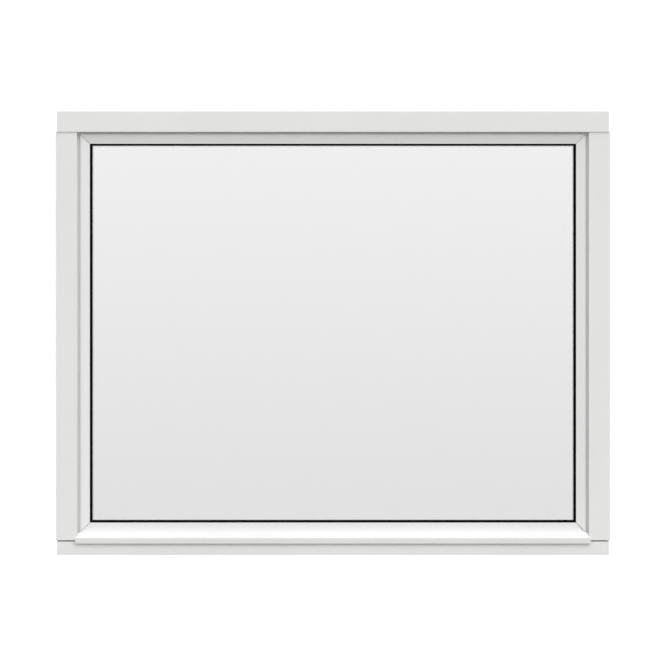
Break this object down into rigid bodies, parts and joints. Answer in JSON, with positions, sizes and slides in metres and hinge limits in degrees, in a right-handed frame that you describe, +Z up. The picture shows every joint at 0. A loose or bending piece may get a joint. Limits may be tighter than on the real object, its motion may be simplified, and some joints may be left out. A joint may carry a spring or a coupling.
{
  "type": "fixed picture window",
  "caption": "Fixed window: aluminium-clad timber frame holding one sealed glass unit behind mitred glazing beads, with a sloped drip bead along the sill.",
  "frame": {"origin": "middle of the sill's underside, on the centre line of the timber's depth", "axes": "+X to the right as seen from outdoors, +Y from outdoors to indoors, +Z up"},
  "size_m": [1, 0.1222, 0.8],
  "materials": {
    "painted_timber": "white paint, satin",
    "coated_cladding": "white powder coat, satin",
    "coated_bead": "white powder coat, satin",
    "end_cap": "white, satin",
    "gasket": "black, matt",
    "glass": "clear float",
    "spacer": "bright mill",
    "edge_seal": "black, matt",
    "setting_block": "matt"
  },
  "bodies": {
    "root": {"frame_head": "painted_timber", "frame_sill": "painted_timber", "frame_jamb_left": "painted_timber", "frame_jamb_right": "painted_timber", "cladding_head": "coated_cladding", "cladding_sill": "coated_cladding", "cladding_jamb_left": "coated_cladding", "cladding_jamb_right": "coated_cladding", "bead_head": "coated_bead", "bead_left": "coated_bead", "bead_right": "coated_bead", "bead_sill_drip": "coated_bead", "drip_end_cap_left": "end_cap", "drip_end_cap_right": "end_cap", "outer_gasket_head": "gasket", "inner_gasket_head": "gasket", "spacer_outer_head": "spacer", "edge_seal_outer_head": "edge_seal", "spacer_inner_head": "spacer", "edge_seal_inner_head": "edge_seal", "outer_gasket_sill": "gasket", "inner_gasket_sill": "gasket", "spacer_outer_sill": "spacer", "edge_seal_outer_sill": "edge_seal", "spacer_inner_sill": "spacer", "edge_seal_inner_sill": "edge_seal", "outer_gasket_left": "gasket", "inner_gasket_left": "gasket", "spacer_outer_left": "spacer", "edge_seal_outer_left": "edge_seal", "spacer_inner_left": "spacer", "edge_seal_inner_left": "edge_seal", "outer_gasket_right": "gasket", "inner_gasket_right": "gasket", "spacer_outer_right": "spacer", "edge_seal_outer_right": "edge_seal", "spacer_inner_right": "spacer", "edge_seal_inner_right": "edge_seal", "pane_outer": "glass", "pane_middle": "glass", "pane_inner": "glass", "setting_block_left": "setting_block", "setting_block_right": "setting_block"}
  },
  "joints": []
}
